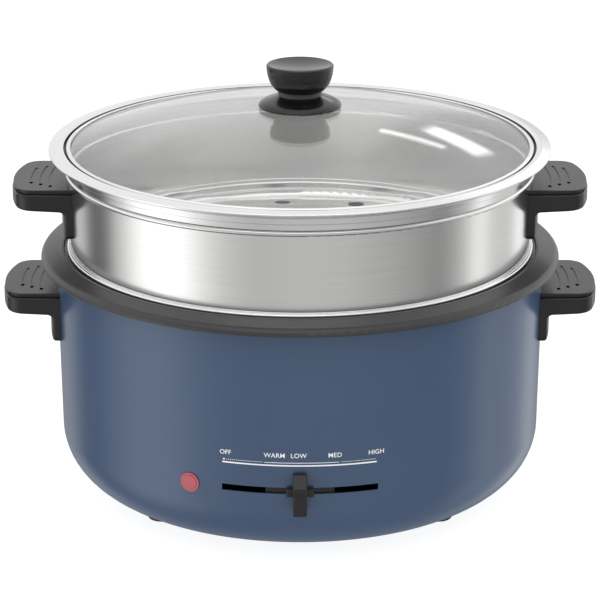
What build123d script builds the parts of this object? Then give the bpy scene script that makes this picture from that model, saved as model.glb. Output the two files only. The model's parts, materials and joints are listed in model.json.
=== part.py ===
"""Electric hot pot with a lift-off steamer tier and a lift-off glass lid.

Millimetres. The pot's vertical axis is Z, the table is z = 0 and the control panel faces -Y.
The side handles lie along X. Every sub-part is modelled where it sits in the finished pot.
"""

from build123d import *
from math import cos, radians, sin, sqrt
import os

os.makedirs("parts", exist_ok=True)

# ---------------------------------------------------------------- fits
slip_gap = 0.3  # between tiers that lift apart, and round the moving slider
touch_gap = 0.05  # between curved faces that are held together
hole_gap = 0.3  # round a screw or stud in its clearance hole
shaft_gap = 0.05  # round the thermostat spindle in its bush

# ---------------------------------------------------------------- feet
foot_height = 6.0
foot_tip_radius = 8.7
foot_root_radius = 10.5
foot_inset = 3.5  # foot's middle inside the flat part of the housing's bottom
foot_angle = 40.6  # from the X axis
foot_stem_radius = 4.0
foot_bead_radius = 5.6
foot_bead_height = 4.0

# ---------------------------------------------------------------- housing
housing_top_radius = 151.8
housing_height = 144.0
housing_taper = 0.0097  # radius lost per millimetre downwards
housing_corner_radius = 35.2
housing_wall = 0.9
base_plate_lap = 6.5
base_plate_foot_gap = 2.7
base_plate_thickness = 1.0

# ---------------------------------------------------------------- fixed pan and its rim
pan_floor_height = 46.0  # inside floor above the housing's bottom
pan_wall = 2.5
pan_floor_thickness = 3.0
pan_mouth_inset = 14.5  # mouth inside the housing's top
pan_mouth_edge_radius = 2.0
pan_wall_slope = 7.8  # radius lost from the mouth to the floor's line
pan_corner_radius = 18.0
ledge_thickness = 3.0
ledge_width = 9.3
rim_lip_gap = 0.5  # slope between the ledge and its lip
rim_lip_height = 1.7
rim_lip_width = 2.6
rim_overhang = 9.2  # rim's edge past the housing's top
rim_shoulder_drop = 1.0
rim_drop = 5.2  # skirt's bottom below the ledge
rim_skirt_wall = 2.6
gasket_thickness = 1.4
gasket_leg = 3.0
gasket_overhang = 1.4

# ---------------------------------------------------------------- heater and what hangs under the pan
heater_plate_inset = 25.5  # inside the pan's floor
heater_plate_thickness = 4.0
element_circle_radius = 74.0
element_width = 8.0
element_height = 7.5
element_gap_angle = 40.0
terminal_radius = 1.8
terminal_length = 13.0
shield_inset = 17.5  # inside the pan's floor
shield_height = 22.0  # above the housing's bottom
shield_thickness = 0.6
shield_rim_height = 8.0
shield_centre_hole = 21.0
standoff_circle_radius = 84.0
standoff_angles = (90, 210, 330)
standoff_radius = 4.5
standoff_neck_radius = 3.2
standoff_stud_radius = 2.5
standoff_stud_length = 3.0
fixing_screw_radius = 2.0
fixing_screw_length = 10.0
fixing_head_radius = 3.9
fixing_head_height = 2.2
vent_slots = 12
vent_slot_radius = 62.0
vent_slot_length = 16.0
vent_slot_width = 3.0

# ---------------------------------------------------------------- thermostat
bracket_span = 34.0
bracket_width = 12.0
bracket_pad = 11.0
bracket_thickness = 1.0
thermostat_height = 14.0
thermostat_length = 26.0
thermostat_width = 18.0
bush_radius = 4.5
bush_length = 6.5
bush_nut_flat = 13.0
bush_nut_height = 3.0
spindle_radius = 3.0
spindle_depth = 9.0  # into the thermostat's body
plate_screw_radius = 2.0
plate_screw_length = 4.0
plate_head_radius = 3.7
plate_head_height = 2.2

# ---------------------------------------------------------------- slide control
slot_height = 45.3  # slot's middle above the housing's bottom
slot_opening = 4.0
slot_half_angle = 17.5
lever_width = 12.0
lever_thickness = 1.5
lever_hub_radius = 9.0
lever_leg_gap = 10.9  # between the lever's leg and the housing's inside
tongue_width = 5.0
tongue_reach = 6.0  # past the housing's outside
lever_nut_flat = 10.0
lever_nut_height = 4.0
shutter_half_angle = 7.7
shutter_thickness = 1.0
shutter_height = 16.5
knob_width = 8.2
knob_side_radius = 0.75
slider_top = 56.7  # above the housing's bottom
slider_bottom = 32.3
slider_ridge = 49.6
slider_proud = 8.4
ear_width = 16.0
ear_height = 5.0
ear_proud = 2.2
ear_edge_radius = 1.0

# ---------------------------------------------------------------- indicator lamp
lamp_angle = 25.2  # to the left of the front, seen from the front
lamp_height = 45.0
lens_flange_radius = 5.9
lens_flange_thickness = 0.6
lens_dome_radius = 4.6
lens_dome_height = 0.5
lens_edge_radius = 0.4
lens_barrel_radius = 4.8
lens_barrel_length = 13.0
lens_barrel_wall = 1.3
clip_radius = 8.0
clip_thickness = 0.8
neon_length = 11.0
neon_lead_radius = 0.4
neon_lead_length = 8.0
neon_lead_pitch = 2.4

# ---------------------------------------------------------------- power inlet
inlet_height = 42.0
inlet_flange_width = 50.0
inlet_flange_height = 28.0
inlet_flange_proud = 2.4
inlet_body_width = 29.0
inlet_body_height = 22.5
inlet_pan_gap = 1.5  # body's inner end past the line of the pan's floor
socket_width = 24.6
socket_height = 16.6
socket_depth = 15.0
socket_corner = 4.5
inlet_pin_width = 2.0
inlet_pin_height = 4.0
inlet_pin_pitch = 14.0
inlet_pin_tail = 7.0
inlet_pin_set_back = 1.5
inlet_screw_pitch = 40.0
inlet_screw_radius = 1.5
inlet_screw_length = 7.0
inlet_head_radius = 2.8
inlet_head_height = 1.7

# ---------------------------------------------------------------- wiring inside the base
block_length = 34.0
block_width = 16.0
block_height = 13.0
block_distance = 58.0  # behind the pot's axis
block_pitch = 20.0  # between its two ways
lead_radius = 1.3
lead_bend = 4.0
lead_hole_x = 34.0
lead_hole_radius = 4.0
supply_run = 24.0  # slanting part of a supply lead
heater_run = 16.0  # from the block to where a heater lead turns outwards
block_entry = 3.0  # a lead's length inside the block
fuse_radius = 2.4
fuse_length = 14.0
fuse_lead_radius = 0.4
fuse_lead_length = 6.0
fuse_x = 44.0
fuse_y = 20.0
fuse_clip_thickness = 0.8
fuse_clip_pad = 9.0
fuse_clip_width = 7.0

# ---------------------------------------------------------------- side handles
handle_half_width = 34.5
handle_end_bow = 7.0
handle_corner_radius = 11.0
handle_thickness = 14.9
handle_edge_radius = 1.2
underside_edge_radius = 2.2
underside_slope = 0.05  # rise per millimetre outwards
cap_thickness = 1.1
cap_inset = 0.7
cap_edge_radius = 0.5
reveal_height = 1.7  # recessed joint under the cap
reveal_inset = 1.9
web_radius = 3.0
tab_thickness = 4.7
tab_length = 16.5
tab_corner_radius = 3.0
grip_groove_width = 1.5
grip_groove_depth = 0.45
grip_groove_pitch = 5.7
grip_groove_margin = 12.2  # outermost groove to the handle's end
grip_groove_bow = 3.5
grip_groove_half_length = 16.4
grip_groove_step = 3.9  # each groove inwards is longer by this at both ends
pit_width = 2.3
pit_length = 4.2
pit_depth = 3.0
pit_gap = 5.0  # between a groove's front end and its pit's middle
handle_screw_pitch = 36.0
handle_screw_radius = 2.0
handle_screw_length = 14.0
handle_head_radius = 3.9
handle_head_height = 2.0
base_handle_reach = 33.6  # past the housing's side
base_handle_drop = 18.1  # below the housing's top
steamer_handle_reach = 35.0
steamer_handle_top = 43.2  # above the steamer's shoulder

# ---------------------------------------------------------------- steamer tier
steamer_wall = 0.6
steamer_inset = 4.1  # wall inside the ledge's outer edge
steamer_wall_height = 50.1  # shoulder to the middle of the rolled bead
steamer_bead_radius = 1.8
steamer_shoulder_radius = 1.0
steamer_foot_radius = 1.3
steamer_step_gap = 3.2  # step inside the pan's mouth
steamer_step_edge = 0.6
steamer_step_depth = 9.3
steamer_ridge_drop = 4.4  # narrow ledge in the step's wall, below the shoulder
steamer_ridge_width = 0.6
steamer_ridge_edge = 0.25
steamer_floor_corner = 4.0
steamer_rib_inset = 12.5  # where the floor rises a little, inside the step
steamer_rib_rise = 0.5
steamer_rib_run = 0.8
steam_hole_radius = 5.35
steam_ring_radii = (111.0, 83.0, 55.0, 27.0)
steam_ring_counts = (14, 10, 7, 3)

# ---------------------------------------------------------------- lid
brim_overhang = 11.7  # brim's edge past the steamer's wall
lid_brim_thickness = 1.5
lid_brim_above_bead = 12.5  # brim's top above the bead's top
neck_overhang = 2.1  # neck past the steamer's wall
lid_neck_ridge = 0.8
lid_plug_clearance = 0.7  # plug inside the steamer's wall
lid_plug_depth = 4.0
lid_ring_wall = 0.8
brim_crest_inset = 6.5  # brim's crest inside its edge
brim_crest_rise = 0.8  # crest above the brim's edge
brim_crest_fall = 0.5  # from the crest in to the groove
lid_groove_width = 1.8
lid_groove_depth = 2.4  # below the brim's edge
lid_bead_width = 2.4  # rolled over the glass's edge
lid_bead_rise = 0.55
lid_neck_fillet = 2.6
glass_thickness = 4.0
glass_inset = 0.3  # glass's edge inside the steamer's wall
glass_rise = 23.8
glass_hole_radius = 3.4

# ---------------------------------------------------------------- lid knob
skirt_radius = 25.5
skirt_edge = 1.5
skirt_gap = 0.85  # between the skirt's edge and the glass
skirt_rise = 7.3
collar_radius = 13.4
collar_height = 2.9
grip_radius = 20.6
grip_base_radius = 14.2
grip_height = 16.2
grip_dish = 2.2
grip_rim_radius = 1.2
knob_screw_radius = 2.4
knob_screw_thread = 9.0  # length held in the grip
knob_head_radius = 5.0
knob_head_height = 2.6
knob_seal_radius = 10.0
knob_seal_thickness = 0.6
knob_washer_radius = 8.5
knob_washer_thickness = 1.2

# ================================================================ worked-out places
floor_z = foot_height  # underside of the housing
housing_top_z = floor_z + housing_height
housing_bottom_radius = housing_top_radius - housing_taper * housing_height
foot_circle_radius = housing_bottom_radius - housing_corner_radius - foot_inset
base_plate_radius = foot_circle_radius - foot_root_radius - base_plate_foot_gap
base_opening_radius = base_plate_radius - base_plate_lap
pan_floor_z = floor_z + pan_floor_height
ledge_under_z = housing_top_z + gasket_thickness
ledge_z = ledge_under_z + ledge_thickness
pan_under_z = pan_floor_z - pan_floor_thickness
heater_under_z = pan_under_z - heater_plate_thickness
shield_z = floor_z + shield_height
slot_z = floor_z + slot_height
rim_radius = housing_top_radius + rim_overhang
pan_mouth_radius = housing_top_radius - pan_mouth_inset
pan_floor_radius = pan_mouth_radius - pan_wall_slope
ledge_radius = pan_mouth_radius + ledge_width
inlet_inner_radius = pan_floor_radius + inlet_pan_gap
heater_plate_radius = pan_floor_radius - heater_plate_inset
shield_radius = pan_floor_radius - shield_inset
base_handle_top = housing_height - base_handle_drop
steamer_radius = ledge_radius - steamer_inset
steamer_step_radius = pan_mouth_radius - steamer_step_gap
shoulder_z = ledge_z + slip_gap
steamer_floor_z = shoulder_z - steamer_step_depth
bead_z = shoulder_z + steamer_wall_height
bead_top_z = bead_z + steamer_bead_radius
brim_top_z = bead_top_z + lid_brim_above_bead
lid_radius = steamer_radius + brim_overhang
lid_neck_radius = steamer_radius + neck_overhang
glass_radius = steamer_radius - glass_inset


def housing_radius(height):
    """Outside radius of the housing's straight side, at a height above its bottom."""
    return housing_bottom_radius + housing_taper * height


def polar(radius, angle):
    """Point in plan at an angle from the X axis."""
    return (radius * cos(radians(angle)), radius * sin(radians(angle)))


def write(piece, name):
    """Label a finished sub-part and write its STEP file."""
    piece.label = name
    export_step(piece, f"parts/{name}.step")


def turned(points, radii):
    """Solid of revolution about Z from a closed (radius, height) outline with rounded corners."""
    with BuildPart(mode=Mode.PRIVATE) as solid:
        with BuildSketch(Plane.XZ):
            with BuildLine():
                FilletPolyline(*points, radius=radii, close=True)
            make_face()
        revolve(axis=Axis.Z)
    return solid.part


def screw(radius, length, head_radius, head_height):
    """Pan-head screw along +Z: the head's underside is at z = 0 and the shank points up."""
    recess_length = head_radius * 1.1
    recess_width = head_radius * 0.28
    with BuildPart(mode=Mode.PRIVATE) as solid:
        Cylinder(radius, length, align=(Align.CENTER, Align.CENTER, Align.MIN))
        with Locations((0, 0, -head_height)):
            Cylinder(head_radius, head_height, align=(Align.CENTER, Align.CENTER, Align.MIN))
        fillet(solid.edges().group_by(Axis.Z)[0], head_height * 0.45)
        with Locations((0, 0, -head_height)):
            Box(recess_length, recess_width, head_height, mode=Mode.SUBTRACT)
            Box(recess_width, recess_length, head_height, mode=Mode.SUBTRACT)
    return solid.part


# ================================================================ base: housing and floor
housing_envelope = turned(
    [
        (0, floor_z),
        (housing_bottom_radius + touch_gap, floor_z),
        (housing_top_radius + touch_gap, housing_top_z),
        (0, housing_top_z),
    ],
    [0, housing_corner_radius, 0, 0],
)

lamp_radius = housing_radius(lamp_height + lens_flange_radius) + touch_gap
lamp_axis = (-sin(radians(lamp_angle)), -cos(radians(lamp_angle)), 0)
lamp_plane = Plane(
    origin=(lamp_radius * lamp_axis[0], lamp_radius * lamp_axis[1], floor_z + lamp_height),
    x_dir=(cos(radians(lamp_angle)), -sin(radians(lamp_angle)), 0),
    z_dir=lamp_axis,
)
slot_half_width = housing_radius(slot_height) * sin(radians(slot_half_angle))
handle_screw_z = floor_z + base_handle_top - handle_thickness / 2
foot_places = [
    (side * foot_circle_radius * cos(radians(foot_angle)), end * foot_circle_radius * sin(radians(foot_angle)))
    for side in (-1, 1)
    for end in (-1, 1)
]
standoff_places = [polar(standoff_circle_radius, angle) for angle in standoff_angles]
base_screw_places = standoff_places + [(0, block_distance)]
inlet_places = [(-inlet_screw_pitch / 2, 0), (inlet_screw_pitch / 2, 0)]
inlet_plane = Plane(
    origin=(0, housing_radius(inlet_height), floor_z + inlet_height), x_dir=(-1, 0, 0), z_dir=(0, 1, 0)
)

with BuildPart() as outer_housing:
    add(
        turned(
            [
                (base_opening_radius, floor_z),
                (housing_bottom_radius, floor_z),
                (housing_top_radius, housing_top_z),
                (housing_top_radius - housing_wall, housing_top_z),
                (housing_bottom_radius - housing_wall, floor_z + housing_wall),
                (base_opening_radius, floor_z + housing_wall),
            ],
            [0, housing_corner_radius, 0, 0, housing_corner_radius - housing_wall, 0],
        )
    )
    with Locations((0, -housing_top_radius, slot_z)):
        Box(2 * slot_half_width, housing_corner_radius, slot_opening, mode=Mode.SUBTRACT)
    with Locations(lamp_plane):
        Cylinder(lens_barrel_radius + touch_gap, housing_corner_radius, mode=Mode.SUBTRACT)
    with Locations(inlet_plane):
        Box(
            inlet_body_width + 2 * touch_gap,
            inlet_body_height + 2 * touch_gap,
            housing_corner_radius,
            mode=Mode.SUBTRACT,
        )
        with Locations(*inlet_places):
            Cylinder(inlet_screw_radius + touch_gap, housing_corner_radius, mode=Mode.SUBTRACT)
    with Locations(Plane.XY.offset(floor_z)):
        with Locations(*foot_places):
            Cylinder(foot_stem_radius + touch_gap, housing_corner_radius / 2, mode=Mode.SUBTRACT)
    for y in (-handle_screw_pitch / 2, handle_screw_pitch / 2):
        with Locations((0, y, handle_screw_z)):
            Cylinder(
                handle_screw_radius + hole_gap,
                2 * rim_radius,
                rotation=(0, 90, 0),
                mode=Mode.SUBTRACT,
            )
write(outer_housing.part, "outer_housing")

with BuildPart() as base_plate:
    with BuildSketch(Plane.XY.offset(floor_z - base_plate_thickness)):
        Circle(base_plate_radius)
        with Locations(*base_screw_places):
            Circle(fixing_screw_radius + hole_gap, mode=Mode.SUBTRACT)
        with PolarLocations(vent_slot_radius, vent_slots, start_angle=180 / vent_slots):
            SlotOverall(vent_slot_length, vent_slot_width, mode=Mode.SUBTRACT)
    extrude(amount=base_plate_thickness)
write(base_plate.part, "base_plate")

foot_names = ("foot_front_left", "foot_rear_left", "foot_front_right", "foot_rear_right")
foot_shape = turned(
    [
        (0, 0),
        (foot_tip_radius, 0),
        (foot_root_radius, foot_height),
        (foot_stem_radius, foot_height),
        (foot_stem_radius, foot_height + housing_wall),
        (foot_bead_radius, foot_height + housing_wall),
        (foot_stem_radius - 1, foot_height + housing_wall + foot_bead_height),
        (0, foot_height + housing_wall + foot_bead_height),
    ],
    [0, 1.4, 0, 0, 0, 0.6, 0.8, 0],
)
for name, place in zip(foot_names, foot_places):
    with BuildPart() as foot:
        with Locations(place):
            add(foot_shape)
    write(foot.part, name)

# ================================================================ base: pan, rim and gasket
rim_lip_inner = ledge_radius + rim_lip_gap
rim_lip_outer = rim_lip_inner + rim_lip_width
rim_shoulder_z = ledge_z - rim_shoulder_drop
with BuildPart() as inner_pan:
    add(
        turned(
            [
                (0, pan_under_z),
                (pan_floor_radius + pan_wall, pan_under_z),
                (pan_mouth_radius + pan_wall, ledge_under_z),
                (rim_radius - rim_skirt_wall - 1, ledge_under_z),
                (rim_radius - rim_skirt_wall, ledge_z - rim_drop),
                (rim_radius, ledge_z - rim_drop),
                (rim_radius, rim_shoulder_z),
                (rim_lip_outer, ledge_z + rim_lip_height - 0.3),
                (rim_lip_outer - 0.8, ledge_z + rim_lip_height),
                (rim_lip_inner, ledge_z + rim_lip_height),
                (ledge_radius, ledge_z),
                (pan_mouth_radius, ledge_z),
                (pan_floor_radius, pan_floor_z),
                (0, pan_floor_z),
            ],
            [
                0,
                pan_corner_radius + pan_wall,
                2.0,
                1.2,
                0.4,
                0.8,
                0.95 * (rim_drop - rim_shoulder_drop),
                0.8,
                0.5,
                0.6,
                0.3,
                pan_mouth_edge_radius,
                pan_corner_radius,
                0,
            ],
        )
    )
write(inner_pan.part, "inner_pan")

with BuildPart() as rim_gasket:
    add(
        turned(
            [
                (housing_top_radius - housing_wall - gasket_overhang, housing_top_z - gasket_leg),
                (housing_top_radius - housing_wall - touch_gap, housing_top_z - gasket_leg),
                (housing_top_radius - housing_wall - touch_gap, housing_top_z),
                (housing_top_radius + gasket_overhang, housing_top_z),
                (housing_top_radius + gasket_overhang, ledge_under_z),
                (housing_top_radius - housing_wall - gasket_overhang, ledge_under_z),
            ],
            [0.3, 0, 0, 0.3, 0, 0],
        )
    )
write(rim_gasket.part, "rim_gasket")

# ================================================================ base: heater under the pan
bracket_screw_x = bracket_span / 2 + bracket_pad / 2
fuse_screw_x = fuse_x + fuse_radius + fuse_clip_thickness + fuse_clip_pad / 2
plate_screw_places = [(-bracket_screw_x, 0), (bracket_screw_x, 0), (fuse_screw_x, fuse_y)]

with BuildPart() as heater_plate:
    with BuildSketch(Plane.XY.offset(heater_under_z)):
        Circle(heater_plate_radius)
    extrude(amount=heater_plate_thickness)
    chamfer(heater_plate.edges().group_by(Axis.Z)[0], 0.6)
    with Locations(Plane.XY.offset(heater_under_z)):
        with Locations(*standoff_places):
            Cylinder(
                standoff_stud_radius + touch_gap,
                standoff_stud_length + touch_gap,
                align=(Align.CENTER, Align.CENTER, Align.MIN),
                mode=Mode.SUBTRACT,
            )
        with Locations(*plate_screw_places):
            Cylinder(
                plate_screw_radius + touch_gap,
                plate_screw_length - bracket_thickness + touch_gap,
                align=(Align.CENTER, Align.CENTER, Align.MIN),
                mode=Mode.SUBTRACT,
            )
write(heater_plate.part, "heater_plate")

element_start = 90 + element_gap_angle / 2
element_sweep = 360 - element_gap_angle
with BuildPart() as heating_element:
    with BuildSketch(Plane.XZ.rotated((0, 0, element_start))):
        with Locations((element_circle_radius, heater_under_z - element_height / 2)):
            RectangleRounded(element_width, element_height, 0.4 * element_height)
        with Locations((element_circle_radius, heater_under_z - element_height / 4)):
            Rectangle(element_width, element_height / 2)
    revolve(axis=Axis.Z, revolution_arc=element_sweep)
write(heating_element.part, "heating_element")

with BuildPart() as element_terminals:
    for turn in (-1, 1):
        end_angle = 90 + turn * element_gap_angle / 2
        end_x, end_y = polar(element_circle_radius, end_angle)
        terminal_plane = Plane(
            origin=(end_x, end_y, heater_under_z - element_height / 2),
            z_dir=(turn * sin(radians(end_angle)), -turn * cos(radians(end_angle)), 0),
        )
        with Locations(terminal_plane):
            Cylinder(
                1.6 * terminal_radius, terminal_length / 3, align=(Align.CENTER, Align.CENTER, Align.MIN)
            )
            Cylinder(terminal_radius, terminal_length, align=(Align.CENTER, Align.CENTER, Align.MIN))
write(element_terminals.part, "element_terminals")

lead_hole_y = block_distance
with BuildPart() as heat_shield:
    add(
        turned(
            [
                (0, shield_z),
                (shield_radius, shield_z),
                (shield_radius, shield_z + shield_rim_height),
                (shield_radius - shield_thickness, shield_z + shield_rim_height),
                (shield_radius - shield_thickness, shield_z + shield_thickness),
                (0, shield_z + shield_thickness),
            ],
            [0, 3.0, 0, 0, 3.0 - shield_thickness, 0],
        )
    )
    with BuildSketch(Plane.XY.offset(shield_z)) as shield_holes:
        Circle(shield_centre_hole)
        with Locations(*standoff_places):
            Circle(standoff_neck_radius + touch_gap)
        with Locations((-lead_hole_x, lead_hole_y), (lead_hole_x, lead_hole_y)):
            Circle(lead_hole_radius)
    extrude(shield_holes.sketch, amount=shield_thickness, mode=Mode.SUBTRACT)
write(heat_shield.part, "heat_shield")

standoff_shape = turned(
    [
        (0, floor_z),
        (standoff_radius, floor_z),
        (standoff_radius, shield_z),
        (standoff_neck_radius, shield_z),
        (standoff_neck_radius, heater_under_z),
        (standoff_stud_radius, heater_under_z),
        (standoff_stud_radius, heater_under_z + standoff_stud_length),
        (0, heater_under_z + standoff_stud_length),
    ],
    [0, 0.4, 0.4, 0, 0, 0, 0.4, 0],
)
with BuildPart() as pan_standoffs:
    with Locations(*standoff_places):
        add(standoff_shape)
    with Locations(Plane.XY.offset(floor_z)):
        with Locations(*standoff_places):
            Cylinder(
                fixing_screw_radius + touch_gap,
                fixing_screw_length,
                align=(Align.CENTER, Align.CENTER, Align.MIN),
                mode=Mode.SUBTRACT,
            )
write(pan_standoffs.part, "pan_standoffs")

with BuildPart() as base_screws:
    with Locations(Plane.XY.offset(floor_z - base_plate_thickness)):
        with Locations(*base_screw_places):
            add(screw(fixing_screw_radius, fixing_screw_length, fixing_head_radius, fixing_head_height))
write(base_screws.part, "base_screws")

with BuildPart() as plate_screws:
    with Locations(Plane.XY.offset(heater_under_z - bracket_thickness)):
        with Locations(*plate_screw_places):
            add(screw(plate_screw_radius, plate_screw_length, plate_head_radius, plate_head_height))
write(plate_screws.part, "plate_screws")

# ================================================================ base: thermostat
thermostat_under_z = heater_under_z - thermostat_height
web_under_z = thermostat_under_z - bracket_thickness
bush_under_z = thermostat_under_z - bush_length

with BuildPart() as thermostat_bracket:
    with BuildSketch(Plane.XZ):
        with BuildLine():
            outer = bracket_span / 2
            inner = outer - bracket_thickness
            pad_end = outer + bracket_pad
            Polyline(
                (-pad_end, heater_under_z),
                (-inner, heater_under_z),
                (-inner, thermostat_under_z),
                (inner, thermostat_under_z),
                (inner, heater_under_z),
                (pad_end, heater_under_z),
                (pad_end, heater_under_z - bracket_thickness),
                (outer, heater_under_z - bracket_thickness),
                (outer, web_under_z),
                (-outer, web_under_z),
                (-outer, heater_under_z - bracket_thickness),
                (-pad_end, heater_under_z - bracket_thickness),
                (-pad_end, heater_under_z),
            )
        make_face()
    extrude(amount=bracket_width / 2, both=True)
    with Locations((0, 0, web_under_z)):
        Cylinder(bush_radius + touch_gap, 4 * bracket_thickness, mode=Mode.SUBTRACT)
    with Locations((-bracket_screw_x, 0, heater_under_z), (bracket_screw_x, 0, heater_under_z)):
        Cylinder(plate_screw_radius + hole_gap, 4 * bracket_thickness, mode=Mode.SUBTRACT)
write(thermostat_bracket.part, "thermostat_bracket")

with BuildPart() as thermostat_body:
    with BuildSketch(Plane.XY.offset(thermostat_under_z)):
        RectangleRounded(thermostat_length, thermostat_width, 2.0)
        Circle(spindle_radius + shaft_gap, mode=Mode.SUBTRACT)
    extrude(amount=spindle_depth + 1)
    with BuildSketch(Plane.XY.offset(thermostat_under_z + spindle_depth + 1)):
        RectangleRounded(thermostat_length, thermostat_width, 2.0)
    extrude(amount=thermostat_height - spindle_depth - 1)
write(thermostat_body.part, "thermostat_body")

with BuildPart() as thermostat_bush:
    with BuildSketch(Plane.XY.offset(bush_under_z)):
        Circle(bush_radius)
        Circle(spindle_radius + shaft_gap, mode=Mode.SUBTRACT)
    extrude(amount=bush_length)
write(thermostat_bush.part, "thermostat_bush")

with BuildPart() as bush_nut:
    with BuildSketch(Plane.XY.offset(web_under_z - bush_nut_height)):
        RegularPolygon(bush_nut_flat / 2, 6, major_radius=False)
        Circle(bush_radius + touch_gap, mode=Mode.SUBTRACT)
    extrude(amount=bush_nut_height)
    chamfer(bush_nut.edges().group_by(Axis.Z)[0].filter_by(GeomType.LINE), 0.5)
write(bush_nut.part, "bush_nut")

with BuildPart() as thermal_fuse:
    with Locations((fuse_x, fuse_y, heater_under_z - fuse_radius)):
        Cylinder(fuse_radius, fuse_length, rotation=(90, 0, 0))
    fillet(thermal_fuse.edges(), 0.8)
    with Locations((fuse_x, fuse_y, heater_under_z - fuse_radius)):
        Cylinder(fuse_lead_radius, fuse_length + 2 * fuse_lead_length, rotation=(90, 0, 0))
write(thermal_fuse.part, "thermal_fuse")

with BuildPart() as fuse_clip:
    with BuildSketch(Plane.XZ.offset(-fuse_y)):
        with Locations((fuse_x, heater_under_z - fuse_radius)):
            Circle(fuse_radius + fuse_clip_thickness + touch_gap)
            Rectangle(
                2 * (fuse_radius + fuse_clip_thickness + touch_gap),
                fuse_radius,
                align=(Align.CENTER, Align.MIN),
            )
        with Locations((fuse_x, heater_under_z)):
            Rectangle(
                fuse_radius + fuse_clip_thickness + fuse_clip_pad,
                fuse_clip_thickness,
                align=(Align.MIN, Align.MAX),
            )
            Rectangle(4 * fuse_radius, 4 * fuse_radius, align=(Align.CENTER, Align.MIN), mode=Mode.SUBTRACT)
        with Locations((fuse_x, heater_under_z - fuse_radius)):
            Circle(fuse_radius + touch_gap, mode=Mode.SUBTRACT)
            Rectangle(
                2 * (fuse_radius + touch_gap),
                fuse_radius,
                align=(Align.CENTER, Align.MIN),
                mode=Mode.SUBTRACT,
            )
    extrude(amount=fuse_clip_width / 2, both=True)
    with Locations((fuse_screw_x, fuse_y, heater_under_z)):
        Cylinder(plate_screw_radius + touch_gap, 4 * bracket_thickness, mode=Mode.SUBTRACT)
write(fuse_clip.part, "fuse_clip")

# ================================================================ control: spindle, lever, shutter, slider
lever_top_z = bush_under_z - slip_gap
lever_z = lever_top_z - lever_thickness
housing_inside = housing_radius(slot_height) - housing_wall
lever_leg_radius = housing_inside - lever_leg_gap
tongue_end = housing_radius(slot_height) + tongue_reach

with BuildPart() as thermostat_spindle:
    with BuildSketch(Plane.XY.offset(lever_z - lever_nut_height - 1)):
        Circle(spindle_radius)
    extrude(amount=thermostat_under_z + spindle_depth - (lever_z - lever_nut_height - 1))
    chamfer(thermostat_spindle.edges().group_by(Axis.Z)[0], 0.5)
write(thermostat_spindle.part, "thermostat_spindle")

with BuildPart() as control_lever:
    with BuildSketch(Plane.XY.offset(lever_z)):
        Circle(lever_hub_radius)
        Rectangle(lever_width, lever_leg_radius, align=(Align.CENTER, Align.MAX))
        Circle(spindle_radius + touch_gap, mode=Mode.SUBTRACT)
    extrude(amount=lever_thickness)
    with Locations((0, -lever_leg_radius, lever_z)):
        Box(
            lever_width,
            lever_thickness,
            slot_z + lever_thickness / 2 - lever_z,
            align=(Align.CENTER, Align.MIN, Align.MIN),
        )
    leg_edges = control_lever.edges().filter_by(Axis.X)
    leg_edges = leg_edges.filter_by_position(Axis.Y, -lever_leg_radius, -lever_leg_radius)
    fillet(leg_edges.sort_by(Axis.Z)[0], lever_thickness * 0.9)
    with Locations((0, -lever_leg_radius + lever_thickness, slot_z)):
        Box(
            tongue_width,
            tongue_end - lever_leg_radius + lever_thickness,
            lever_thickness,
            align=(Align.CENTER, Align.MAX, Align.CENTER),
        )
write(control_lever.part, "control_lever")

with BuildPart() as lever_nut:
    with BuildSketch(Plane.XY.offset(lever_z - lever_nut_height)):
        RegularPolygon(lever_nut_flat / 2, 6, major_radius=False)
        Circle(spindle_radius + touch_gap, mode=Mode.SUBTRACT)
    extrude(amount=lever_nut_height)
    chamfer(lever_nut.edges().group_by(Axis.Z)[0].filter_by(GeomType.LINE), 0.4)
write(lever_nut.part, "lever_nut")

shutter_outer = housing_inside - 2 * slip_gap
with BuildPart() as slot_shutter:
    with BuildSketch(Plane.XY.offset(slot_z - shutter_height / 2)):
        Circle(shutter_outer)
        Circle(shutter_outer - shutter_thickness, mode=Mode.SUBTRACT)
        Rectangle(
            2 * shutter_outer * sin(radians(shutter_half_angle)),
            2 * shutter_outer,
            align=(Align.CENTER, Align.MAX),
            mode=Mode.INTERSECT,
        )
    extrude(amount=shutter_height)
    with Locations((0, -shutter_outer, slot_z)):
        Box(
            tongue_width + 2 * touch_gap,
            6 * shutter_thickness,
            lever_thickness + 2 * touch_gap,
            mode=Mode.SUBTRACT,
        )
write(slot_shutter.part, "slot_shutter")

knob_back = housing_radius(slider_top) + 2 * slip_gap
knob_front = knob_back + slider_proud
with BuildPart() as slider_knob:
    with BuildSketch(Plane.YZ):
        with BuildLine():
            FilletPolyline(
                (-knob_back, floor_z + slider_bottom),
                (-knob_back, floor_z + slider_top),
                (-knob_back - 0.25 * slider_proud, floor_z + slider_top),
                (-knob_front, floor_z + slider_ridge),
                (-knob_front + 0.12 * slider_proud, floor_z + slider_ridge - 5),
                (-knob_front + 0.2 * slider_proud, floor_z + slider_bottom),
                radius=[0, 0.8, 1.2, 3.0, 1.0, 0],
                close=True,
            )
        make_face()
    extrude(amount=knob_width / 2, both=True)
    side_edges = slider_knob.faces().filter_by(Axis.X).edges()
    fillet(side_edges.filter_by_position(Axis.Y, -knob_front - 1, -knob_back - 0.1), knob_side_radius)
    with BuildSketch(Plane.XY.offset(slot_z - ear_height / 2)) as ears:
        with Locations((0, -knob_back)):
            Rectangle(ear_width, ear_proud, align=(Align.CENTER, Align.MAX))
        fillet(ears.vertices().group_by(Axis.Y)[0], ear_edge_radius)
    extrude(amount=ear_height)
    with Locations((0, -knob_back, slot_z)):
        Box(
            tongue_width + 2 * touch_gap,
            2 * (tongue_end - knob_back + touch_gap),
            lever_thickness + 2 * touch_gap,
            mode=Mode.SUBTRACT,
        )
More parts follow.
